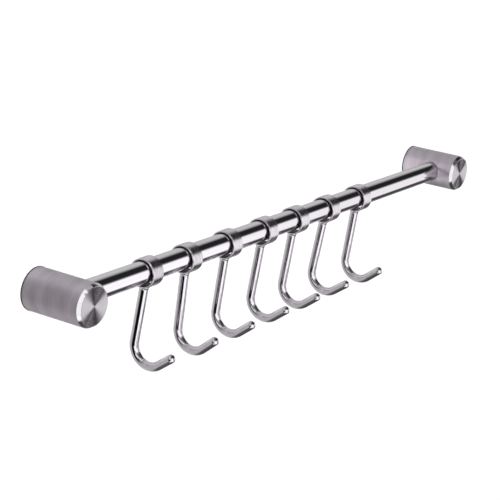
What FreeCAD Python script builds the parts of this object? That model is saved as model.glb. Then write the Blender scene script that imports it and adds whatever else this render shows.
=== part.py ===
"""Kitchen utensil rail: a tube held off the wall by two turned posts, with seven sliding hooks.

Millimetres. X runs along the rail, Y points into the wall and Z is up. The wall is the plane
Y = 0 and the origin lies midway between the two wall screws.
"""
import os

import FreeCAD
import Part
import Sketcher

doc = FreeCAD.newDocument("utensil_rail")

# Driving dimensions
DIMENSIONS = {
    "post_spacing": 500.0,
    "post_diameter": 30.0,
    "post_reach": 49.0,
    "post_chamfer_along": 2.5,
    "post_chamfer_in": 1.5,
    "gasket_thickness": 0.8,
    "gasket_proud": 0.15,
    "gasket_inset": 0.35,
    "post_rim": 2.85,
    "disc_play": 0.15,
    "disc_roof_gap": 0.5,
    "screw_hole": 5.0,
    "screw_head": 9.6,
    "groove_depth": 1.0,
    "groove_side_play": 0.4,
    "groove_lip": 1.0,
    "grub_diameter": 4.0,
    "grub_from_wall": 4.2,
    "grub_sink": 0.6,
    "grub_key": 2.0,
    "grub_key_depth": 1.8,
    "grub_point": 0.5,
    "rail_diameter": 16.0,
    "rail_wall": 1.2,
    "rail_from_wall": 27.0,
    "socket_depth": 12.0,
    "socket_play": 0.05,
    "socket_break": 0.3,
    "collar_wall": 1.7,
    "collar_bore_play": 0.9,
    "collar_length": 11.0,
    "collar_break": 0.35,
    "collar_bore_break": 0.6,
    "collar_rest_gap": 0.1,
    "rod_diameter": 6.5,
    "rod_drop": 52.2,
    "bend_radius": 13.6,
    "bend_turn": 135.0,
    "tip_length": 15.5,
    "tip_round": 2.0,
    "neck_chamfer": 1.2,
    "cope_depth": 0.5,
    "swing_play": 0.15,
    "hook_place_1": -167.0,
    "hook_place_2": -121.5,
    "hook_place_3": -72.0,
    "hook_place_4": -24.5,
    "hook_place_5": 19.0,
    "hook_place_6": 64.5,
    "hook_place_7": 112.5,
    "hook_lean_1": 7.8,
    "hook_lean_2": 3.7,
    "hook_lean_3": 6.0,
    "hook_lean_4": 7.2,
    "hook_lean_5": 7.1,
    "hook_lean_6": 8.5,
    "hook_lean_7": 6.2,
}

# Sizes that follow from the driving dimensions, as sheet formulas
FOLLOWING = {
    "post_radius": "=post_diameter / 2",
    "recess_radius": "=post_radius - post_rim",
    "gasket_bore": "=2 * (recess_radius + gasket_inset)",
    "disc_radius": "=recess_radius - disc_play",
    "groove_floor": "=disc_radius - groove_depth",
    "groove_half": "=grub_diameter / 2 + groove_side_play",
    "disc_thickness": "=grub_from_wall + groove_half + groove_lip",
    "recess_roof": "=disc_thickness + disc_roof_gap",
    "sink_depth": "=(screw_head - screw_hole) / 2",
    "grub_length": "=post_radius - grub_sink - groove_floor",
    "socket_floor": "=post_radius - socket_depth",
    "rail_length": "=post_spacing - 2 * socket_floor",
    "collar_inner": "=rail_diameter + 2 * collar_bore_play",
    "collar_outer": "=collar_inner + 2 * collar_wall",
    "collar_drop": "=collar_bore_play - collar_rest_gap",
    "cope_radius": "=collar_outer / 2 + swing_play",
    "rod_start": "=cope_radius - cope_depth",
}

HOOK_COUNT = 7
SIDES = {"left": -1, "right": 1}

sheet = doc.addObject("Spreadsheet::Sheet", "Sizes")
for row, (name, value) in enumerate({**DIMENSIONS, **FOLLOWING}.items(), start=1):
    sheet.set(f"A{row}", name)
    sheet.set(f"B{row}", str(value))
    sheet.setAlias(f"B{row}", name)
doc.recompute()

LOCAL_X = FreeCAD.Vector(1, 0, 0)
subparts = []


def size(name):
    """Present value of one size on the sheet."""
    return float(sheet.get(name))


def bind(target, prop, formula):
    """Drive one property by a formula in the sheet's names."""
    target.setExpression(prop, formula)


def origin_feature(body, role):
    """One of the body's own origin planes or axes."""
    return next(item for item in body.Origin.OriginFeatures if item.Role == role)


def new_body(label):
    """An empty body that becomes the sub-part of that name."""
    body = doc.addObject("PartDesign::Body", label)
    body.Label = label
    subparts.append(body)
    return body


def place(body, across, outward, up, turn="0"):
    """Set the body's place from three formulas, with a turn about X in degrees."""
    body.Placement = FreeCAD.Placement(FreeCAD.Vector(), FreeCAD.Rotation(LOCAL_X, 1.0))
    bind(body, "Placement.Base.x", across)
    bind(body, "Placement.Base.y", outward)
    bind(body, "Placement.Base.z", up)
    bind(body, "Placement.Rotation.Angle", turn)


def new_sketch(body, name, plane, offset=None):
    """A sketch on one of the body's origin planes, lifted along its normal by a formula."""
    sketch = body.newObject("Sketcher::SketchObject", name)
    sketch.AttachmentSupport = (origin_feature(body, plane), "")
    sketch.MapMode = "FlatFace"
    if offset:
        bind(sketch, "AttachmentOffset.Base.z", offset)
    return sketch


def dimension(sketch, kind, *where, formula):
    """Add one dimension to a sketch and drive it from the sheet."""
    index = sketch.addConstraint(Sketcher.Constraint(kind, *where, evaluate(formula)))
    bind(sketch, f"Constraints[{index}]", formula)


def evaluate(formula):
    """Present value of a formula in the sheet's names."""
    return float(sheet.evalExpression(formula.replace("Sizes.", "")))


def add_circle(sketch, diameter, height=None):
    """A circle on the sketch's vertical axis, at the origin or at a given height."""
    middle = FreeCAD.Vector(0, evaluate(height) if height else 0, 0)
    circle = sketch.addGeometry(Part.Circle(middle, FreeCAD.Vector(0, 0, 1), evaluate(diameter) / 2))
    if height:
        sketch.addConstraint(Sketcher.Constraint("PointOnObject", circle, 3, -2))
        dimension(sketch, "DistanceY", -1, 1, circle, 3, formula=height)
    else:
        sketch.addConstraint(Sketcher.Constraint("Coincident", circle, 3, -1, 1))
    dimension(sketch, "Diameter", circle, formula=diameter)


def add_outline(sketch, corners):
    """A closed outline whose corners are pairs of formulas, measured from the origin."""
    points = [FreeCAD.Vector(evaluate(x), evaluate(y), 0) for x, y in corners]
    count = len(points)
    lines = [
        sketch.addGeometry(Part.LineSegment(points[i], points[(i + 1) % count]))
        for i in range(count)
    ]
    for i, line in enumerate(lines):
        sketch.addConstraint(Sketcher.Constraint("Coincident", line, 2, lines[(i + 1) % count], 1))
        across, along = corners[i]
        for kind, formula in (("DistanceX", across), ("DistanceY", along)):
            dimension(sketch, kind, -1, 1, line, 1, formula=formula)


def turn_about_z(body, sketch):
    """Revolve a half section, drawn on the XZ plane, about the body's own Z axis."""
    feature = body.newObject("PartDesign::Revolution", "Turned")
    feature.Profile = sketch
    feature.ReferenceAxis = (origin_feature(body, "Z_Axis"), [""])
    feature.Angle = 360
    sketch.Visibility = False
    doc.recompute()
    return feature


def pad(body, sketch, length, both_ways=False):
    """Pad a sketch along its normal, or evenly to both sides of its plane."""
    feature = body.newObject("PartDesign::Pad", "Extruded")
    feature.Profile = sketch
    if both_ways:
        feature.SideType = "Symmetric"
    bind(feature, "Length", length)
    doc.recompute()
    return feature


def round_edges(feature, radius):
    """Centres of the feature's round edges of one radius, by edge name."""
    return {
        f"Edge{index}": edge.Curve.Center
        for index, edge in enumerate(feature.Shape.Edges, start=1)
        if isinstance(edge.Curve, Part.Circle) and abs(edge.Curve.Radius - radius) < 1e-6
    }


def chamfer(body, feature, edges, width):
    """Break the named edges of a feature by a 45 degree chamfer."""
    result = body.newObject("PartDesign::Chamfer", "Broken_edge")
    result.Base = (feature, edges)
    bind(result, "Size", width)
    doc.recompute()
    return result


def fillet(body, feature, edges, radius):
    """Round the named edges of a feature."""
    result = body.newObject("PartDesign::Fillet", "Rounded_edge")
    result.Base = (feature, edges)
    bind(result, "Radius", radius)
    doc.recompute()
    return result


def make_rail():
    """The tube, with each end seated on the floor of a post's side socket."""
    body = new_body("rail")
    section = new_sketch(body, "Tube_section", "YZ_Plane")
    add_circle(section, "Sizes.rail_diameter")
    add_circle(section, "Sizes.rail_diameter - 2 * Sizes.rail_wall")
    pad(body, section, "Sizes.rail_length", both_ways=True)
    place(body, "0", "-Sizes.rail_from_wall", "0")


def post_across(side):
    """Formula for the place of one post's axis along X."""
    return f"{SIDES[side]} * Sizes.post_spacing / 2"


def make_post(side):
    """A turned bar, its own Z pointing away from the wall, open at the back for the wall disc."""
    body = new_body(f"post_{side}")
    section = new_sketch(body, "Half_section", "XZ_Plane")
    add_outline(section, [
        ("Sizes.recess_radius", "Sizes.gasket_thickness"),
        ("Sizes.post_radius", "Sizes.gasket_thickness"),
        ("Sizes.post_radius", "Sizes.post_reach - Sizes.post_chamfer_along"),
        ("Sizes.post_radius - Sizes.post_chamfer_in", "Sizes.post_reach"),
        ("0", "Sizes.post_reach"),
        ("0", "Sizes.recess_roof"),
        ("Sizes.recess_radius", "Sizes.recess_roof"),
    ])
    turn_about_z(body, section)

    inward = -SIDES[side]
    mouth = new_sketch(body, "Socket_circle", "YZ_Plane", offset=f"{inward} * Sizes.socket_floor")
    add_circle(mouth, "Sizes.rail_diameter + 2 * Sizes.socket_play", height="Sizes.rail_from_wall")
    socket = body.newObject("PartDesign::Pocket", "Rail_socket")
    socket.Profile = mouth
    socket.Type = "ThroughAll"
    socket.Reversed = inward > 0
    doc.recompute()

    mouth_edges = [
        f"Edge{index}"
        for index, edge in enumerate(socket.Shape.Edges, start=1)
        if isinstance(edge.Curve, Part.BSplineCurve)
    ]
    chamfer(body, socket, mouth_edges, "Sizes.socket_break")

    drill = new_sketch(body, "Grub_circle", "XZ_Plane")
    add_circle(drill, "Sizes.grub_diameter", height="Sizes.grub_from_wall")
    tapped = body.newObject("PartDesign::Pocket", "Grub_hole")
    tapped.Profile = drill
    tapped.Type = "ThroughAll"
    tapped.Reversed = True
    doc.recompute()
    place(body, post_across(side), "0", "0", turn="90")


def make_wall_disc(side):
    """The disc screwed to the wall inside a post, with a countersunk hole and a grooved rim."""
    body = new_body(f"wall_disc_{side}")
    section = new_sketch(body, "Half_section", "XZ_Plane")
    add_outline(section, [
        ("Sizes.screw_hole / 2", "0"),
        ("Sizes.disc_radius", "0"),
        ("Sizes.disc_radius", "Sizes.grub_from_wall - Sizes.groove_half"),
        ("Sizes.groove_floor", "Sizes.grub_from_wall - Sizes.groove_half"),
        ("Sizes.groove_floor", "Sizes.grub_from_wall + Sizes.groove_half"),
        ("Sizes.disc_radius", "Sizes.grub_from_wall + Sizes.groove_half"),
        ("Sizes.disc_radius", "Sizes.disc_thickness"),
        ("Sizes.screw_head / 2", "Sizes.disc_thickness"),
        ("Sizes.screw_hole / 2", "Sizes.disc_thickness - Sizes.sink_depth"),
    ])
    turn_about_z(body, section)
    place(body, post_across(side), "0", "0", turn="90")


def make_wall_gasket(side):
    """The thin ring between a post's back edge and the wall."""
    body = new_body(f"wall_gasket_{side}")
    ring = new_sketch(body, "Ring", "XY_Plane")
    add_circle(ring, "Sizes.post_diameter + 2 * Sizes.gasket_proud")
    add_circle(ring, "Sizes.gasket_bore")
    pad(body, ring, "Sizes.gasket_thickness")
    place(body, post_across(side), "0", "0", turn="90")


def make_grub_screw(side):
    """The set screw under a post, its own Z pointing down and out, with a hexagon socket."""
    body = new_body(f"grub_screw_{side}")
    section = new_sketch(body, "Shank_circle", "XY_Plane")
    add_circle(section, "Sizes.grub_diameter")
    shank = pad(body, section, "Sizes.grub_length")
    ends = round_edges(shank, size("grub_diameter") / 2)
    point = min(ends, key=lambda name: ends[name].z)
    chamfer(body, shank, [point], "Sizes.grub_point")

    key = new_sketch(body, "Key_hexagon", "XY_Plane", offset="Sizes.grub_length")
    corner = "Sizes.grub_key / sqrt(3)"
    half_side = "Sizes.grub_key / sqrt(3) / 2"
    half_flat = "Sizes.grub_key / 2"
    add_outline(key, [
        (corner, "0"),
        (half_side, half_flat),
        (f"-{half_side}", half_flat),
        (f"-{corner}", "0"),
        (f"-{half_side}", f"-{half_flat}"),
        (half_side, f"-{half_flat}"),
    ])
    recess = body.newObject("PartDesign::Pocket", "Key_socket")
    recess.Profile = key
    bind(recess, "Length", "Sizes.grub_key_depth")
    doc.recompute()
    place(body, post_across(side), "-Sizes.grub_from_wall", "-Sizes.groove_floor", turn="180")


def place_on_rail(body, number, turn="0"):
    """Hang a body from the rail at one hook's place, its origin on the collar's axis."""
    place(body, f"Sizes.hook_place_{number}", "-Sizes.rail_from_wall", "-Sizes.collar_drop", turn)


def make_collar(number):
    """The ring that rides on the rail, hanging by its bore, with all four edges broken."""
    body = new_body(f"collar_{number}")
    ring = new_sketch(body, "Ring", "YZ_Plane")
    add_circle(ring, "Sizes.collar_outer")
    add_circle(ring, "Sizes.collar_inner")
    sleeve = pad(body, ring, "Sizes.collar_length", both_ways=True)
    rims = round_edges(sleeve, size("collar_outer") / 2)
    ring_outside = chamfer(body, sleeve, list(rims), "Sizes.collar_break")
    mouths = round_edges(ring_outside, size("collar_inner") / 2)
    chamfer(body, ring_outside, list(mouths), "Sizes.collar_bore_break")
    place_on_rail(body, number)


def draw_hook_line(sketch):
    """Centre line of a hook: straight down, round the bend and straight up along the tip."""
    turn = evaluate("Sizes.bend_turn")
    radius = evaluate("Sizes.bend_radius")
    top = FreeCAD.Vector(0, -evaluate("Sizes.rod_start"), 0)
    low = FreeCAD.Vector(0, -evaluate("Sizes.rod_drop"), 0)
    middle = low - FreeCAD.Vector(radius, 0, 0)
    around = FreeCAD.Rotation(FreeCAD.Vector(0, 0, 1), -turn)
    bend_end = middle + around.multVec(FreeCAD.Vector(radius, 0, 0))
    tip_way = around.multVec(FreeCAD.Vector(0, -1, 0))
    tip_end = bend_end + tip_way * evaluate("Sizes.tip_length")
    half_way = FreeCAD.Rotation(FreeCAD.Vector(0, 0, 1), -turn / 2)
    bend_mid = middle + half_way.multVec(FreeCAD.Vector(radius, 0, 0))

    shank = sketch.addGeometry(Part.LineSegment(top, low))
    bend = sketch.addGeometry(Part.Arc(low, bend_mid, bend_end))
    tip = sketch.addGeometry(Part.LineSegment(bend_end, tip_end))
    bend_low, bend_high = (2, 1)
    sketch.addConstraint(Sketcher.Constraint("PointOnObject", shank, 1, -2))
    sketch.addConstraint(Sketcher.Constraint("Vertical", shank))
    sketch.addConstraint(Sketcher.Constraint("Tangent", shank, 2, bend, bend_low))
    sketch.addConstraint(Sketcher.Constraint("Tangent", bend, bend_high, tip, 1))
    dimension(sketch, "DistanceY", shank, 1, -1, 1, formula="Sizes.rod_start")
    dimension(sketch, "DistanceY", shank, 2, -1, 1, formula="Sizes.rod_drop")
    dimension(sketch, "Radius", bend, formula="Sizes.bend_radius")
    dimension(sketch, "Distance", tip, formula="Sizes.tip_length")
    sketch.addConstraint(Sketcher.Constraint("Angle", bend, FreeCAD.Units.Quantity(turn, "deg").Value))
    bind(sketch, f"Constraints[{sketch.ConstraintCount - 1}]", "Sizes.bend_turn")


def make_hook(number):
    """The bent rod under a collar, its top end coped to the collar and its tip rounded."""
    body = new_body(f"hook_{number}")
    line = new_sketch(body, "Centre_line", "YZ_Plane")
    draw_hook_line(line)
    section = new_sketch(body, "Rod_section", "XY_Plane", offset="-Sizes.rod_start")
    add_circle(section, "Sizes.rod_diameter")
    doc.recompute()
    rod = body.newObject("PartDesign::AdditivePipe", "Bent_rod")
    rod.Profile = section
    rod.Spine = (line, ["Edge1", "Edge2", "Edge3"])
    doc.recompute()

    ends = round_edges(rod, size("rod_diameter") / 2)
    neck = max(ends, key=lambda name: ends[name].z)
    necked = chamfer(body, rod, [neck], "Sizes.neck_chamfer")
    ends = round_edges(necked, size("rod_diameter") / 2)
    tip = min(ends, key=lambda name: ends[name].y)
    fillet(body, necked, [tip], "Sizes.tip_round")

    saddle = new_sketch(body, "Saddle_circle", "YZ_Plane")
    add_circle(saddle, "2 * Sizes.cope_radius")
    cope = body.newObject("PartDesign::Pocket", "Cope")
    cope.Profile = saddle
    cope.SideType = "Symmetric"
    bind(cope, "Length", "2 * Sizes.rod_diameter")
    doc.recompute()
    place_on_rail(body, number, turn=f"Sizes.hook_lean_{number}")


make_rail()
for side_name in SIDES:
    make_post(side_name)
    make_wall_disc(side_name)
    make_wall_gasket(side_name)
    make_grub_screw(side_name)
for hook_number in range(1, HOOK_COUNT + 1):
    make_collar(hook_number)
    make_hook(hook_number)
doc.recompute()

for item in doc.Objects:
    if {"Invalid", "Error"} & set(item.State):
        raise RuntimeError(f"{item.Label} did not build: {item.State}")

os.makedirs("parts", exist_ok=True)
for body in subparts:
    if not body.Shape.isValid() or len(body.Shape.Solids) != 1:
        raise RuntimeError(f"{body.Label} is not one valid solid")
    body.Shape.exportStep(f"parts/{body.Label}.step")
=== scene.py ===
"""Looks of a kitchen utensil rail, in metres, in the frame of its solids.

X runs along the rail, Y points into the wall and Z is up. The wall is the plane Y = 0.
"""
import math

import bmesh
import bpy
from mathutils import Matrix, Vector


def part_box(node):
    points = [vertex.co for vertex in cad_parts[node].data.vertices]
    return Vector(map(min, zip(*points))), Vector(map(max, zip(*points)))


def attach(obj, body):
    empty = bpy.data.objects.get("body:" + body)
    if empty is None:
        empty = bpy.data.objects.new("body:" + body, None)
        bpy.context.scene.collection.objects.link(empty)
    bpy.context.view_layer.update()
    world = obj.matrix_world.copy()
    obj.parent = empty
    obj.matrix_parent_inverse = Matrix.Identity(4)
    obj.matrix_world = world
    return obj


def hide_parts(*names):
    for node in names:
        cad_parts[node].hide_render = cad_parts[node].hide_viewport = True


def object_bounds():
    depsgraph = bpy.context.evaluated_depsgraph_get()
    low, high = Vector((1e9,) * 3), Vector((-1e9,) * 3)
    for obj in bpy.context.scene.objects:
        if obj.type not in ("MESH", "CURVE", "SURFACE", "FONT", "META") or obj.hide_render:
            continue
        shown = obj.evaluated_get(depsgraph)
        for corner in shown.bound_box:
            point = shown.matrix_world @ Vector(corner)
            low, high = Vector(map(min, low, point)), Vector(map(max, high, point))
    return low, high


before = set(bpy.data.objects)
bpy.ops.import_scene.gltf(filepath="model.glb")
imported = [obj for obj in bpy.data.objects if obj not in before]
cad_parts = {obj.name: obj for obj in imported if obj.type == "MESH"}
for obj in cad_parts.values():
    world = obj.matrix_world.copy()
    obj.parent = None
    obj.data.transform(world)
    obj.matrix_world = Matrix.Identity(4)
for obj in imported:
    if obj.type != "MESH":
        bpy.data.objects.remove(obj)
solid_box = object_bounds()

MM = 0.001
SIDES = {"left": -1, "right": 1}
QUARTER = math.radians(90)

# Picking by place and facing
CLOSE = 0.01 * MM
MERGE_DISTANCE = 0.001 * MM
FACING = 0.9
SQUARELY = 0.99

# Small rounds
EDGE_STEPS = 2
SHARP_ANGLE = math.radians(20)

# Rail
RAIL_WALL = 1.2 * MM
RAIL_SEGMENTS = 128
RAIL_END_BREAK = 0.2 * MM
RAIL_EDGE_ROUND = RAIL_END_BREAK / 3

# Posts
POST_SEGMENTS = 160
POST_CHAMFER_ALONG = 2.5 * MM
POST_CHAMFER_IN = 1.5 * MM
POST_RIM = 2.85 * MM
RECESS_ROOF = 8.1 * MM
SOCKET_PLAY = 0.05 * MM
SOCKET_FLOOR = 3.0 * MM
TAP_RADIUS = 2.0 * MM
TAP_FROM_WALL = 4.2 * MM
CENTRE_PIP_RADIUS = 0.55 * MM
FACE_RING_PITCH = 0.25 * MM
FACE_RING_SLOPE = math.radians(37)
POST_EDGE_ROUND = 0.15 * MM
POST_EDGE_STEPS = 3
POST_EDGE_MARGIN = 0.4 * MM
SOCKET_BREAK = 0.3 * MM
POST_SMOOTH_ANGLE = math.radians(25)
FACE_FINISH_DEPTH = 1 * MM
BARREL_SHARE = 0.98
SOCKET_FINISH_SHARE = 0.8
FACE_LINES = 2500
FACE_LINE_DETAIL = 3

# Collars
COLLAR_SEGMENTS = 128
COLLAR_WALL = 1.7 * MM
COLLAR_BREAK = 0.35 * MM
BORE_BREAK = 0.6 * MM
COLLAR_EDGE_ROUND = 0.1 * MM

# Hooks, drawn hanging straight down with the collar's axis at the origin
ROD_SEGMENTS = 64
ROD_RADIUS = 3.25 * MM
ROD_START = 10.25 * MM
ROD_DROP = 52.2 * MM
BEND_RADIUS = 13.6 * MM
BEND_TURN = math.radians(135)
BEND_STEPS = 54
TIP_LENGTH = 15.5 * MM
TIP_ROUND = 2.9 * MM
TIP_STEPS = 12
# Radius of the weld and its depth below the collar's axis, down to the bare rod
WELD_STEPS = [(3.75 * MM, 11.2 * MM), (3.5 * MM, 11.6 * MM), (3.36 * MM, 12.0 * MM)]
WELD_END = 12.5 * MM
# Short rings at the ends of a straight length, which keep its shading straight
SUPPORT = 0.4 * MM
COPE_RADIUS = 10.75 * MM
COPE_LENGTH = 4 * ROD_RADIUS
ROD_EDGE_ROUND = 0.1 * MM
# Lean of each hook towards the wall, in degrees
HOOK_LEANS = [7.8, 3.7, 6.0, 7.2, 7.1, 8.5, 6.2]

# Camera, as the photograph was taken
IMAGE_SIDE = 500
FOCAL_PIXELS = 1703
VIEW_AZIMUTH = math.radians(-57.0)
VIEW_ELEVATION = math.radians(17.13)
VIEW_ROLL = math.radians(4.38)
VIEW_DISTANCE = 1.2575
VIEW_TARGET = Vector((-0.0452, -0.030, -0.0107))

# Noise runs over its range between these values
NOISE_LOW = 0.3
NOISE_HIGH = 0.7

# Studio
TENT_RADIUS = 3.0
TENT_HALF_LENGTH = 14.0
TENT_SEGMENTS = 96
TENT_STRENGTH = 1.13
# Place, size, turn and brightness. A card with a quarter turn stands across the rail, and its
# size is given in Z and Y
CARDS = {
    "low_flag": ((-2.0, -0.68, -0.94), (0.95, 3.2), (math.radians(13.8), QUARTER, 0), 0.005),
    "side_flag": ((-2.02, -0.21, 0.05), (1.5, 1.87), (0, QUARTER, 0), 0.005),
    "upper_flag": ((-2.0, -0.775, 1.10), (1.60, 1.95), (0, QUARTER, 0), 0.10),
    "bend_flag": ((-2.0, 0.56, 0.95), (1.10, 0.72), (0, QUARTER, 0), 0.36),
    "rod_flag": ((-2.0, 1.31, -0.45), (1.70, 1.18), (0, QUARTER, 0), 0.45),
    "left_chamfer_card": ((-0.300, -0.079, 0.063), (0.194, 0.068), (0, QUARTER, 0), 1.0),
    "left_top_card": ((-0.278, -0.095, 0.160), (0.045, 0.090), (0, 0, 0), 1.0),
    "left_grey_card": ((-0.200, -0.080, 0.160), (0.110, 0.060), (0, 0, 0), 0.42),
    "right_barrel_card": ((0.165, 0.074, -0.012), (0.226, 0.172), (0, QUARTER, 0), 1.0),
    "right_chamfer_card": ((0.200, -0.085, 0.020), (0.160, 0.060), (0, QUARTER, 0), 1.0),
}
# Cards that glow on their front alone and are clear from behind
ONE_SIDED_CARDS = {"right_barrel_card", "right_chamfer_card"}
FLOOR_DROP = 0.35
FLOOR_SIDE = 12.0
FLOOR_LIFT = 0.09
FLOOR_ROUGHNESS = 0.95
LAMP_STRENGTH = 2.6
LAMP_SPREAD = math.radians(80)

# Brightness of the light tent by the angle round the rail: 0 is the front, 90 overhead,
# 180 the wall side and -90 below
END_BANDS = [
    (-180, 1.00), (-140, 1.00), (-125, 0.95), (-110, 0.40), (-90, 0.15), (-80, 0.95), (36, 1.00),
    (48, 0.10), (88, 0.10), (105, 0.90), (130, 1.00), (180, 1.00),
]
OUTER_BANDS = [
    (-180, 0.42), (-140, 0.38), (-125, 0.34), (-110, 0.10), (-90, 0.08), (-80, 0.95), (36, 1.00),
    (48, 0.10), (88, 0.10), (105, 0.38), (130, 0.32), (160, 0.32), (180, 0.42),
]
LEFT_BANDS = [
    (-180, 0.42), (-140, 0.38), (-125, 0.42), (-115, 0.40), (-103, 0.10), (-90, 0.08), (-80, 0.95),
    (-60, 1.00), (24, 1.00), (38, 0.34), (92, 0.34), (115, 0.42), (130, 0.32), (160, 0.32),
    (180, 0.42),
]
MAIN_BANDS = [
    (-180, 0.45), (-140, 0.44), (-125, 0.44), (-113, 0.17), (-84, 0.05), (-58, 0.05), (-45, 1.00),
    (23, 1.00), (33, 0.20), (42, 0.015), (86, 0.015), (110, 0.45), (125, 0.53), (180, 0.45),
]
NEAR_BANDS = [
    (-180, 0.60), (-140, 0.50), (-125, 0.52), (-115, 0.45), (-103, 0.12), (-84, 0.05), (-58, 0.05),
    (-45, 1.00), (23, 1.00), (33, 0.24), (42, 0.08), (80, 0.10), (105, 0.50), (125, 0.62),
    (180, 0.60),
]
FAR_BANDS = [
    (-180, 0.45), (-140, 0.44), (-125, 0.44), (-113, 0.17), (-84, 0.05), (-58, 0.05), (-45, 0.84),
    (23, 0.84), (33, 0.20), (42, 0.015), (86, 0.015), (110, 0.45), (125, 0.53), (180, 0.45),
]
GAP_BANDS = [
    (-180, 0.45), (-140, 0.44), (-125, 0.44), (-113, 0.17), (-84, 0.05), (-20, 0.03), (86, 0.015),
    (110, 0.45), (125, 0.53), (180, 0.45),
]
# Where along X the end's bands pass into the first row here, and each row into the next
STRETCHES = [
    ((-4.9, -4.5), OUTER_BANDS),
    ((-3.9, -3.6), LEFT_BANDS),
    ((-1.6, -1.1), NEAR_BANDS),
    ((1.1, 1.25), GAP_BANDS),
    ((2.90, 2.98), MAIN_BANDS),
    ((3.6, 4.6), FAR_BANDS),
]


# Modelling helpers

def active_piece():
    return bpy.context.view_layer.objects.active


def start_piece():
    """Deselect everything before a new primitive is added."""
    bpy.ops.object.select_all(action="DESELECT")


def pick_only(piece):
    bpy.ops.object.select_all(action="DESELECT")
    piece.select_set(True)
    bpy.context.view_layer.objects.active = piece


def edit(piece):
    pick_only(piece)
    bpy.ops.object.mode_set(mode="EDIT")


def leave_edit():
    bpy.ops.object.mode_set(mode="OBJECT")


def pick_faces(piece, wanted):
    """Select the faces whose centre and normal pass the test."""
    bpy.ops.mesh.select_mode(type="FACE")
    bpy.ops.mesh.select_all(action="DESELECT")
    shape = bmesh.from_edit_mesh(piece.data)
    for face in shape.faces:
        face.select_set(wanted(face.calc_center_median(), face.normal))
    bmesh.update_edit_mesh(piece.data)


def pick_edges(piece, wanted):
    """Select the edges of which both ends pass the test."""
    bpy.ops.mesh.select_mode(type="EDGE")
    bpy.ops.mesh.select_all(action="DESELECT")
    shape = bmesh.from_edit_mesh(piece.data)
    for edge in shape.edges:
        edge.select_set(all(wanted(corner.co) for corner in edge.verts))
    bmesh.update_edit_mesh(piece.data)


def extrude(move):
    bpy.ops.mesh.extrude_region_move(TRANSFORM_OT_translate={"value": move})


def apply_place(piece):
    """Put the piece's place and turn into its mesh."""
    pick_only(piece)
    bpy.ops.object.transform_apply(location=True, rotation=True, scale=True)


def apply_modifier(piece, modifier):
    pick_only(piece)
    bpy.ops.object.modifier_apply(modifier=modifier.name)


def cut(piece, cutter):
    """Cut one shape out of a piece."""
    modifier = piece.modifiers.new("cut", "BOOLEAN")
    modifier.operation = "DIFFERENCE"
    modifier.solver = "EXACT"
    modifier.object = cutter
    apply_modifier(piece, modifier)
    bpy.data.objects.remove(cutter)


def soften_edges(piece, width):
    """Round every sharp edge a little and shade the broad faces true."""
    pick_only(piece)
    bpy.ops.object.shade_smooth()
    modifier = piece.modifiers.new("edge_round", "BEVEL")
    modifier.width = width
    modifier.segments = EDGE_STEPS
    modifier.limit_method = "ANGLE"
    modifier.angle_limit = SHARP_ANGLE
    modifier.harden_normals = True
    apply_modifier(piece, modifier)


def add_rod(radius, length, place, turn, segments):
    start_piece()
    bpy.ops.mesh.primitive_cylinder_add(
        vertices=segments, radius=radius, depth=length, location=place, rotation=turn,
    )
    rod = active_piece()
    apply_place(rod)
    return rod


ALONG_X = (0, QUARTER, 0)
ALONG_Y = (QUARTER, 0, 0)
ALONG_Z = (0, 0, 0)


def model_tube(name, radius, wall, length, place, segments, rim_break, bore_break):
    """A tube along X: a bar with both ends inset and bridged to a bore, and its rims broken."""
    tube = add_rod(radius, length, place, ALONG_X, segments)
    tube.name = name
    edit(tube)
    pick_faces(tube, lambda centre, normal: abs(normal.x) > FACING)
    bpy.ops.mesh.inset(thickness=wall, use_individual=True)
    bpy.ops.mesh.bridge_edge_loops()
    middle = Vector(place)

    def at_end(point):
        return abs(abs(point.x - middle.x) - length / 2) < CLOSE

    def on_outer_rim(point):
        off_axis = math.hypot(point.y - middle.y, point.z - middle.z)
        return at_end(point) and off_axis > radius - CLOSE

    def on_bore_rim(point):
        off_axis = math.hypot(point.y - middle.y, point.z - middle.z)
        return at_end(point) and off_axis < radius - wall + CLOSE

    for wanted, width in ((on_outer_rim, rim_break), (on_bore_rim, bore_break)):
        pick_edges(tube, wanted)
        bpy.ops.mesh.bevel(offset=width, segments=1, affect="EDGES")
    leave_edit()
    return tube


def model_rail():
    low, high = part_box("rail")
    middle = (low + high) / 2
    rail = model_tube(
        "bright_rail", (high.z - low.z) / 2, RAIL_WALL, high.x - low.x, middle,
        RAIL_SEGMENTS, RAIL_END_BREAK, RAIL_END_BREAK,
    )
    soften_edges(rail, RAIL_EDGE_ROUND)
    return rail


def model_collar():
    """One ring, with its middle at the origin."""
    low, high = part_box("collar_1")
    collar = model_tube(
        "ring", (high.z - low.z) / 2, COLLAR_WALL, high.x - low.x, Vector((0, 0, 0)),
        COLLAR_SEGMENTS, COLLAR_BREAK, BORE_BREAK,
    )
    soften_edges(collar, COLLAR_EDGE_ROUND)
    return collar


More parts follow.
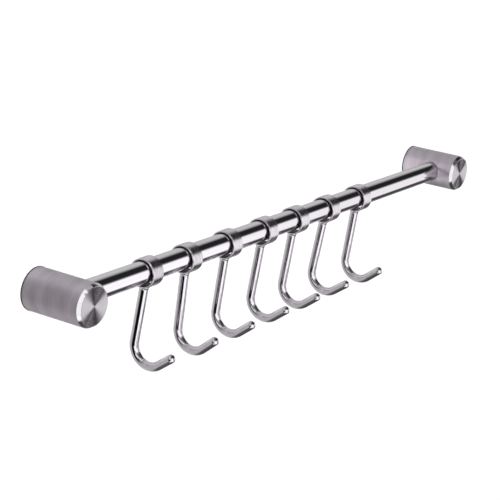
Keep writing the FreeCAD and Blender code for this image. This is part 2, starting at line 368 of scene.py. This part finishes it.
def model_hook():
    """One bent rod with the weld at its top, hanging straight down from a collar's axis."""
    start_piece()
    weld_radius = WELD_STEPS[0][0]
    bpy.ops.mesh.primitive_circle_add(
        vertices=ROD_SEGMENTS, radius=weld_radius, fill_type="NGON", location=(0, 0, -ROD_START),
    )
    hook = active_piece()
    hook.name = "rod"
    apply_place(hook)
    edit(hook)
    bpy.ops.mesh.select_all(action="SELECT")
    radius, depth = weld_radius, ROD_START
    for next_radius, next_depth in [*WELD_STEPS, (ROD_RADIUS, WELD_END)]:
        extrude((0, 0, depth - next_depth))
        share = next_radius / radius
        bpy.ops.transform.resize(value=(share, share, 1), center_override=(0, 0, -next_depth))
        radius, depth = next_radius, next_depth
    for length in (SUPPORT, ROD_DROP - WELD_END - 2 * SUPPORT, SUPPORT):
        extrude((0, 0, -length))
    bpy.ops.mesh.spin(
        steps=BEND_STEPS, angle=BEND_TURN,
        center=(0, -BEND_RADIUS, -ROD_DROP), axis=(1, 0, 0),
    )
    tip_way = Vector((0, -math.sin(BEND_TURN), -math.cos(BEND_TURN)))
    for length in (SUPPORT, TIP_LENGTH - TIP_ROUND - 2 * SUPPORT, SUPPORT + TIP_ROUND):
        extrude(tip_way * length)
    bpy.ops.mesh.select_all(action="SELECT")
    bpy.ops.mesh.remove_doubles(threshold=MERGE_DISTANCE)
    bpy.ops.mesh.normals_make_consistent(inside=False)

    bend_end = Vector((
        0,
        BEND_RADIUS * (math.cos(BEND_TURN) - 1),
        -ROD_DROP - BEND_RADIUS * math.sin(BEND_TURN),
    ))
    tip_end = bend_end + tip_way * TIP_LENGTH
    pick_edges(hook, lambda point: abs((point - tip_end).dot(tip_way)) < CLOSE)
    bpy.ops.mesh.bevel(offset=TIP_ROUND, segments=TIP_STEPS, affect="EDGES")
    leave_edit()
    saddle = add_rod(COPE_RADIUS, COPE_LENGTH, (0, 0, 0), ALONG_X, COLLAR_SEGMENTS)
    cut(hook, saddle)
    soften_edges(hook, ROD_EDGE_ROUND)
    return hook


def face_the_end(post, radius):
    """Cut fine lathe rings into a post's front face, from its rim to its middle."""
    pick_faces(post, lambda centre, normal: normal.y < -SQUARELY)
    step = FACE_RING_PITCH / 2
    depth = step * math.tan(FACE_RING_SLOPE)
    bpy.ops.mesh.inset(thickness=FACE_RING_PITCH)
    ring_count = int((radius - FACE_RING_PITCH - CENTRE_PIP_RADIUS) / FACE_RING_PITCH)
    for ring in range(ring_count):
        for way in (1, -1):
            bpy.ops.mesh.inset(thickness=step)
            bpy.ops.transform.translate(value=(0, way * depth, 0))


def model_post(side):
    """A turned bar end: chamfered and faced in front, bored behind, with a side socket."""
    low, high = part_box(f"post_{side}")
    radius = (high.z - low.z) / 2
    across = SIDES[side] * (abs(low.x) + abs(high.x)) / 2
    shoulder = low.y + POST_CHAMFER_ALONG
    barrel_end = shoulder + POST_EDGE_MARGIN
    post = add_rod(
        radius, high.y - barrel_end, (across, (high.y + barrel_end) / 2, 0), ALONG_Y, POST_SEGMENTS,
    )
    post.name = f"turned_post_{side}"
    edit(post)
    pick_faces(post, lambda centre, normal: normal.y < -FACING)
    extrude((0, -POST_EDGE_MARGIN, 0))
    extrude((0, -POST_CHAMFER_ALONG, 0))
    share = 1 - POST_CHAMFER_IN / radius
    bpy.ops.transform.resize(value=(share, 1, share), center_override=(across, low.y, 0))
    pick_faces(post, lambda centre, normal: normal.y > FACING)
    bpy.ops.mesh.inset(thickness=POST_RIM)
    extrude((0, -RECESS_ROOF - high.y, 0))

    def on_shoulder(point):
        return abs(point.y - shoulder) < CLOSE

    def on_face_rim(point):
        return abs(point.y - low.y) < CLOSE

    for wanted in (on_shoulder, on_face_rim):
        pick_edges(post, wanted)
        bpy.ops.mesh.bevel(offset=POST_EDGE_ROUND, segments=POST_EDGE_STEPS, affect="EDGES")
    face_the_end(post, radius - POST_CHAMFER_IN - POST_EDGE_ROUND)
    leave_edit()

    rail_low, rail_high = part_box("rail")
    rail_middle = (rail_low + rail_high) / 2
    inward = -SIDES[side]
    socket_depth = radius - SOCKET_FLOOR
    socket_place = (
        across + inward * (SOCKET_FLOOR + socket_depth), rail_middle.y, rail_middle.z,
    )
    socket_radius = rail_high.z - rail_middle.z + SOCKET_PLAY
    cut(post, add_rod(socket_radius, 2 * socket_depth, socket_place, ALONG_X, RAIL_SEGMENTS))
    tap_place = (across, -TAP_FROM_WALL, -radius)
    cut(post, add_rod(TAP_RADIUS, radius, tap_place, ALONG_Z, ROD_SEGMENTS))

    def on_socket_mouth(point):
        from_rail = math.hypot(point.y - rail_middle.y, point.z - rail_middle.z)
        from_axis = math.hypot(point.x - across, point.z)
        return abs(from_rail - socket_radius) < 2 * CLOSE and from_axis > radius - 2 * CLOSE

    edit(post)
    pick_edges(post, on_socket_mouth)
    bpy.ops.mesh.bevel(offset=SOCKET_BREAK, segments=EDGE_STEPS, affect="EDGES")
    leave_edit()
    pick_only(post)
    bpy.ops.object.shade_smooth_by_angle(angle=POST_SMOOTH_ANGLE)
    return post


# Materials

def link(tree, source, target):
    tree.links.new(source, target)


def add_node(tree, kind, **settings):
    made = tree.nodes.new(kind)
    for name, value in settings.items():
        setattr(made, name, value)
    return made


def new_metal(name):
    material = bpy.data.materials.new(name)
    material.use_nodes = True
    shader = material.node_tree.nodes["Principled BSDF"]
    shader.inputs["Metallic"].default_value = 1
    return material, material.node_tree, shader


def grain(tree, stretch, detail=4):
    """Noise on the piece's own place, finer where the stretch is larger."""
    place = add_node(tree, "ShaderNodeTexCoord")
    mapping = add_node(tree, "ShaderNodeMapping")
    mapping.inputs["Scale"].default_value = stretch
    link(tree, place.outputs["Object"], mapping.inputs["Vector"])
    noise = add_node(tree, "ShaderNodeTexNoise")
    noise.inputs["Scale"].default_value = 1
    noise.inputs["Detail"].default_value = detail
    link(tree, mapping.outputs["Vector"], noise.inputs["Vector"])
    return noise.outputs["Fac"]


def roughen(tree, shader, source, low, high):
    """Let noise vary the roughness over a range."""
    spread = add_node(tree, "ShaderNodeMapRange")
    spread.inputs["From Min"].default_value = NOISE_LOW
    spread.inputs["From Max"].default_value = NOISE_HIGH
    spread.inputs["To Min"].default_value = low
    spread.inputs["To Max"].default_value = high
    link(tree, source, spread.inputs["Value"])
    link(tree, spread.outputs["Result"], shader.inputs["Roughness"])


def colour(tree, shader, source, dark, light):
    """Let noise vary the colour between two tones."""
    ramp = add_node(tree, "ShaderNodeValToRGB")
    ramp.color_ramp.elements[0].position = NOISE_LOW
    ramp.color_ramp.elements[0].color = (*dark, 1)
    ramp.color_ramp.elements[1].position = NOISE_HIGH
    ramp.color_ramp.elements[1].color = (*light, 1)
    link(tree, source, ramp.inputs["Fac"])
    link(tree, ramp.outputs["Color"], shader.inputs["Base Color"])


def raise_surface(tree, shader, source, height, strength):
    bump = add_node(tree, "ShaderNodeBump")
    bump.inputs["Distance"].default_value = height
    bump.inputs["Strength"].default_value = strength
    link(tree, source, bump.inputs["Height"])
    link(tree, bump.outputs["Normal"], shader.inputs["Normal"])


def drawn_steel():
    """Bright tube with fine lines along its length."""
    material, tree, shader = new_metal("drawn_steel")
    lines = grain(tree, (7, 900, 900), detail=6)
    colour(tree, shader, lines, (0.83, 0.79, 0.84), (0.91, 0.87, 0.92))
    roughen(tree, shader, lines, 0.10, 0.05)
    raise_surface(tree, shader, lines, 0.01 * MM, 0.08)
    return material


def buffed_ring():
    """Rings, buffed a little softer than the hooks."""
    material, tree, shader = new_metal("buffed_ring")
    haze = grain(tree, (500, 260, 260), detail=6)
    colour(tree, shader, haze, (0.80, 0.755, 0.81), (0.88, 0.835, 0.89))
    roughen(tree, shader, haze, 0.28, 0.20)
    return material


def bright_steel():
    """Buffed steel of the hooks."""
    material, tree, shader = new_metal("bright_steel")
    haze = grain(tree, (260, 260, 260), detail=6)
    colour(tree, shader, haze, (0.82, 0.78, 0.83), (0.89, 0.85, 0.90))
    roughen(tree, shader, haze, 0.08, 0.04)
    return material


def painted_bore_shade():
    """Painted shade: very dark steel inside the rings and in the posts' sockets, standing in for
    the shadow in the gaps round the rail.
    """
    material, tree, shader = new_metal("painted_bore_shade")
    marks = grain(tree, (2500, 300, 300))
    colour(tree, shader, marks, (0.05, 0.048, 0.05), (0.10, 0.096, 0.10))
    roughen(tree, shader, marks, 0.35, 0.55)
    return material


def satin_barrel():
    """Fine blasted steel round the posts, a little cloudy."""
    material, tree, shader = new_metal("satin_barrel")
    clouds = grain(tree, (45, 160, 45), detail=5)
    colour(tree, shader, clouds, (0.53, 0.479, 0.535), (0.69, 0.624, 0.695))
    grit = grain(tree, (3500, 3500, 3500), detail=2)
    roughen(tree, shader, grit, 0.50, 0.38)
    raise_surface(tree, shader, grit, 0.02 * MM, 0.35)
    return material


def turned_face():
    """Front face of the posts, faced on a lathe, with rings round its middle."""
    material, tree, shader = new_metal("turned_face")
    place = add_node(tree, "ShaderNodeTexCoord")
    axes = add_node(tree, "ShaderNodeSeparateXYZ")
    link(tree, place.outputs["Object"], axes.inputs["Vector"])
    either_side = add_node(tree, "ShaderNodeMath", operation="ABSOLUTE")
    link(tree, axes.outputs["X"], either_side.inputs[0])
    low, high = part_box("post_right")
    from_middle = add_node(tree, "ShaderNodeMath", operation="SUBTRACT")
    from_middle.inputs[1].default_value = (low.x + high.x) / 2
    link(tree, either_side.outputs[0], from_middle.inputs[0])
    flat = add_node(tree, "ShaderNodeCombineXYZ")
    link(tree, from_middle.outputs[0], flat.inputs["X"])
    link(tree, axes.outputs["Z"], flat.inputs["Z"])
    radius = add_node(tree, "ShaderNodeVectorMath", operation="LENGTH")
    link(tree, flat.outputs["Vector"], radius.inputs[0])
    rings = add_node(tree, "ShaderNodeTexNoise", noise_dimensions="1D")
    rings.inputs["Scale"].default_value = FACE_LINES
    rings.inputs["Detail"].default_value = FACE_LINE_DETAIL
    link(tree, radius.outputs["Value"], rings.inputs["W"])
    colour(tree, shader, rings.outputs["Fac"], (0.47, 0.443, 0.475), (0.60, 0.566, 0.606))
    roughen(tree, shader, rings.outputs["Fac"], 0.32, 0.23)
    return material


def bright_chamfer():
    """Front chamfer of the posts, polished by hand over the turning."""
    material, tree, shader = new_metal("bright_chamfer")
    haze = grain(tree, (300, 900, 300), detail=5)
    colour(tree, shader, haze, (0.84, 0.82, 0.845), (0.93, 0.91, 0.935))
    roughen(tree, shader, haze, 0.16, 0.11)
    return material


def plain_turned():
    """Wall discs, as they come off the lathe."""
    material, tree, shader = new_metal("plain_turned")
    marks = grain(tree, (400, 1800, 400))
    colour(tree, shader, marks, (0.50, 0.50, 0.51), (0.62, 0.62, 0.63))
    roughen(tree, shader, marks, 0.45, 0.30)
    return material


def dark_screw():
    """Blackened set screws."""
    material, tree, shader = new_metal("dark_screw")
    marks = grain(tree, (1200, 1200, 1200))
    colour(tree, shader, marks, (0.10, 0.10, 0.105), (0.20, 0.20, 0.205))
    roughen(tree, shader, marks, 0.50, 0.35)
    return material


def black_rubber():
    material, tree, shader = new_metal("black_rubber")
    shader.inputs["Metallic"].default_value = 0
    speckle = grain(tree, (1600, 1600, 1600), detail=2)
    colour(tree, shader, speckle, (0.016, 0.016, 0.017), (0.035, 0.034, 0.036))
    roughen(tree, shader, speckle, 0.75, 0.60)
    raise_surface(tree, shader, speckle, 0.02 * MM, 0.4)
    return material


def dress_node(node, material):
    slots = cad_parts[node].data.materials
    slots.clear()
    slots.append(material)


def dress_faces(piece, finishes):
    """Give each face the first finish whose test on its centre and normal holds."""
    for material, _ in finishes:
        piece.data.materials.append(material)
    for face in piece.data.polygons:
        face.material_index = next(
            index for index, (_, wanted) in enumerate(finishes) if wanted(face.center, face.normal)
        )


# The object

def everywhere(centre, normal):
    return True


def stand_for(piece, node, body):
    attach(piece, body)
    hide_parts(node)


def copy_piece(model, name):
    piece = model.copy()
    piece.data = model.data.copy()
    piece.name = name
    bpy.context.scene.collection.objects.link(piece)
    return piece


def build_rail():
    rail = model_rail()
    dress_faces(rail, [(drawn_steel(), everywhere)])
    stand_for(rail, "rail", "frame")


def build_posts(bore):
    satin = satin_barrel()
    face = turned_face()
    chamfer = bright_chamfer()
    raw = plain_turned()
    rail_low, rail_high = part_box("rail")
    rail_middle = (rail_low + rail_high) / 2
    rail_radius = (rail_high.z - rail_low.z) / 2
    for side in SIDES:
        low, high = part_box(f"post_{side}")
        middle = (low + high) / 2
        radius = (high.z - low.z) / 2
        post = model_post(side)

        def on_face(centre, normal):
            off_axis = math.hypot(centre.x - middle.x, centre.z)
            inside_rim = off_axis < radius - POST_CHAMFER_IN - POST_EDGE_ROUND
            return inside_rim and centre.y < low.y + FACE_FINISH_DEPTH

        # The socket wall and most of its mouth break take the very dark steel: painted shade where
        # the rail enters the post
        def in_socket(centre, normal):
            off_rail = math.hypot(centre.y - rail_middle.y, centre.z - rail_middle.z)
            outward = Vector((centre.x - middle.x, 0, centre.z)).normalized()
            faces_rail = outward.x * SIDES[side] < 0 and normal.dot(outward) < SQUARELY
            return faces_rail and off_rail < rail_radius + SOCKET_FINISH_SHARE * SOCKET_BREAK

        def on_chamfer(centre, normal):
            return centre.y < low.y + POST_CHAMFER_ALONG

        def on_barrel(centre, normal):
            off_axis = Vector((centre.x - middle.x, 0, centre.z))
            return off_axis.length > radius * BARREL_SHARE and normal.dot(off_axis) > 0

        dress_faces(post, [
            (face, on_face),
            (chamfer, on_chamfer),
            (bore, in_socket),
            (satin, on_barrel),
            (raw, everywhere),
        ])
        stand_for(post, f"post_{side}", "frame")
        dress_node(f"wall_disc_{side}", raw)


def build_hooks(bore):
    bright = bright_steel()
    ring = model_collar()
    rod = model_hook()
    ring_low, ring_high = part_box("collar_1")
    bore_radius = (ring_high.z - ring_low.z) / 2 - COLLAR_WALL

    # The bore and its breaks take the very dark steel: painted shade for the shadowed gap round the
    # rail
    def in_bore(centre, normal):
        return math.hypot(centre.y, centre.z) < bore_radius + BORE_BREAK - COLLAR_EDGE_ROUND

    dress_faces(ring, [(bore, in_bore), (buffed_ring(), everywhere)])
    dress_faces(rod, [(bright, everywhere)])
    for number, lean in enumerate(HOOK_LEANS, start=1):
        low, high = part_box(f"collar_{number}")
        collar = copy_piece(ring, f"ring_{number}")
        hook = copy_piece(rod, f"rod_{number}")
        for piece in (collar, hook):
            piece.location = (low + high) / 2
        hook.rotation_euler.x = math.radians(lean)
        for piece, node, slot in ((collar, "collar", "collar_steel"), (hook, "hook", "hook_steel")):
            apply_place(piece)
            stand_for(piece, f"{node}_{number}", f"{node}_{number}")
    for model in (ring, rod):
        bpy.data.objects.remove(model)


def dress_small_parts():
    rubber = black_rubber()
    screw = dark_screw()
    for side in SIDES:
        dress_node(f"wall_gasket_{side}", rubber)
        dress_node(f"grub_screw_{side}", screw)


# The studio

def set_camera():
    back = Vector((
        math.sin(VIEW_AZIMUTH) * math.cos(VIEW_ELEVATION),
        -math.cos(VIEW_AZIMUTH) * math.cos(VIEW_ELEVATION),
        math.sin(VIEW_ELEVATION),
    ))
    level_right = Vector((0, 0, 1)).cross(back).normalized()
    level_up = back.cross(level_right)
    right = level_right * math.cos(VIEW_ROLL) + level_up * math.sin(VIEW_ROLL)
    up = level_up * math.cos(VIEW_ROLL) - level_right * math.sin(VIEW_ROLL)
    data = bpy.data.cameras.new("camera")
    data.lens = FOCAL_PIXELS / IMAGE_SIDE * data.sensor_width
    camera = bpy.data.objects.new("camera", data)
    bpy.context.scene.collection.objects.link(camera)
    axes = Matrix((right, up, back)).transposed()
    camera.matrix_world = Matrix.Translation(VIEW_TARGET + back * VIEW_DISTANCE) @ axes.to_4x4()
    bpy.context.scene.camera = camera


def glowing(name):
    material = bpy.data.materials.new(name)
    material.use_nodes = True
    tree = material.node_tree
    tree.nodes.clear()
    glow = add_node(tree, "ShaderNodeEmission")
    out = add_node(tree, "ShaderNodeOutputMaterial")
    link(tree, glow.outputs["Emission"], out.inputs["Surface"])
    return material, tree, glow


def hide_from_view(card):
    """Leave a card only in reflections and soft light."""
    card.visible_camera = False
    card.visible_shadow = False


def banded(tree, share, bands):
    """Brightness that follows a row of angles in degrees and levels."""
    ramp = add_node(tree, "ShaderNodeValToRGB")
    stops = ramp.color_ramp.elements
    while len(stops) < len(bands):
        stops.new(0.5)
    for stop, (degrees, level) in zip(stops, bands):
        stop.position = (degrees + 180) / 360
        stop.color = (level, level, level, 1)
    link(tree, share, ramp.inputs["Fac"])
    return ramp.outputs["Color"]


def turn_into(tree, along, stretch, before, after):
    """Pass from one brightness to the next over a stretch of the tent's length."""
    share = add_node(tree, "ShaderNodeMapRange")
    share.inputs["From Min"].default_value = stretch[0]
    share.inputs["From Max"].default_value = stretch[1]
    link(tree, along, share.inputs["Value"])
    mix = add_node(tree, "ShaderNodeMix", data_type="RGBA")
    link(tree, share.outputs["Result"], mix.inputs["Factor"])
    link(tree, before, mix.inputs["A"])
    link(tree, after, mix.inputs["B"])
    return mix.outputs["Result"]


def make_tent():
    """A long light tent round the rail, whose bands the bright steel reflects."""
    tent = add_rod(TENT_RADIUS, 2 * TENT_HALF_LENGTH, (0, 0, 0), ALONG_X, TENT_SEGMENTS)
    tent.name = "light_tent"
    edit(tent)
    pick_faces(tent, lambda centre, normal: abs(normal.x) > FACING)
    bpy.ops.mesh.delete(type="FACE")
    leave_edit()
    material, tree, glow = glowing("tent_cloth")
    glow.inputs["Strength"].default_value = TENT_STRENGTH
    place = add_node(tree, "ShaderNodeTexCoord")
    axes = add_node(tree, "ShaderNodeSeparateXYZ")
    link(tree, place.outputs["Object"], axes.inputs["Vector"])
    forward = add_node(tree, "ShaderNodeMath", operation="MULTIPLY")
    forward.inputs[1].default_value = -1
    link(tree, axes.outputs["Y"], forward.inputs[0])
    angle = add_node(tree, "ShaderNodeMath", operation="ARCTAN2")
    link(tree, axes.outputs["Z"], angle.inputs[0])
    link(tree, forward.outputs[0], angle.inputs[1])
    share = add_node(tree, "ShaderNodeMapRange")
    share.inputs["From Min"].default_value = -math.pi
    share.inputs["From Max"].default_value = math.pi
    link(tree, angle.outputs[0], share.inputs["Value"])
    cloth = banded(tree, share.outputs["Result"], END_BANDS)
    for stretch, bands in STRETCHES:
        ahead = banded(tree, share.outputs["Result"], bands)
        cloth = turn_into(tree, axes.outputs["X"], stretch, cloth, ahead)
    link(tree, cloth, glow.inputs["Color"])
    tent.data.materials.append(material)
    hide_from_view(tent)


def clear_behind(tree, glow):
    """Let a card's back show what lies beyond it."""
    sides = add_node(tree, "ShaderNodeNewGeometry")
    clear = add_node(tree, "ShaderNodeBsdfTransparent")
    mix = add_node(tree, "ShaderNodeMixShader")
    link(tree, sides.outputs["Backfacing"], mix.inputs[0])
    link(tree, glow.outputs["Emission"], mix.inputs[1])
    link(tree, clear.outputs["BSDF"], mix.inputs[2])
    link(tree, mix.outputs["Shader"], tree.nodes["Material Output"].inputs["Surface"])


def add_card(name, place, size, turn, level):
    """A card that shows only in reflections. Unturned it lies flat, its size given in X and Y."""
    start_piece()
    bpy.ops.mesh.primitive_plane_add(size=1, location=place)
    card = active_piece()
    card.name = name
    card.scale = (*size, 1)
    card.rotation_mode = "YXZ"
    card.rotation_euler = turn
    apply_place(card)
    material, tree, glow = glowing(f"{name}_cloth")
    glow.inputs["Color"].default_value = (level, level, level, 1)
    if name in ONE_SIDED_CARDS:
        clear_behind(tree, glow)
    card.data.materials.append(material)
    hide_from_view(card)
    card.visible_diffuse = False


def make_floor():
    start_piece()
    level = solid_box[0][2] - FLOOR_DROP
    bpy.ops.mesh.primitive_plane_add(size=FLOOR_SIDE, location=(0, 0, level))
    floor = active_piece()
    floor.name = "floor"
    material = bpy.data.materials.new("pale_floor")
    material.use_nodes = True
    shader = material.node_tree.nodes["Principled BSDF"]
    shader.inputs["Base Color"].default_value = (1, 1, 1, 1)
    shader.inputs["Roughness"].default_value = FLOOR_ROUGHNESS
    shader.inputs["Specular IOR Level"].default_value = 0
    tree = material.node_tree
    ray = add_node(tree, "ShaderNodeLightPath")
    lift = add_node(tree, "ShaderNodeMath", operation="MULTIPLY")
    lift.inputs[1].default_value = FLOOR_LIFT
    link(tree, ray.outputs["Is Camera Ray"], lift.inputs[0])
    link(tree, lift.outputs[0], shader.inputs["Emission Strength"])
    floor.data.materials.append(material)
    floor.visible_glossy = False


def light_world():
    world = bpy.data.worlds.new("white_surround")
    world.use_nodes = True
    background = world.node_tree.nodes["Background"]
    background.inputs["Color"].default_value = (1, 1, 1, 1)
    background.inputs["Strength"].default_value = 1
    bpy.context.scene.world = world


def add_lamp():
    """One very soft overhead lamp, which the steel doesn't mirror."""
    data = bpy.data.lights.new("soft_overhead", "SUN")
    data.energy = LAMP_STRENGTH
    data.angle = LAMP_SPREAD
    lamp = bpy.data.objects.new("soft_overhead", data)
    lamp.visible_glossy = False
    bpy.context.scene.collection.objects.link(lamp)


# Very dark steel for the bores and sockets, a painted shade of the gaps round the rail
bore_shade = painted_bore_shade()
build_hooks(bore_shade)
build_rail()
build_posts(bore_shade)
dress_small_parts()
set_camera()
make_tent()
for card_name, card in CARDS.items():
    add_card(card_name, *card)
make_floor()
light_world()
add_lamp()
bpy.context.scene.view_settings.view_transform = "Standard"
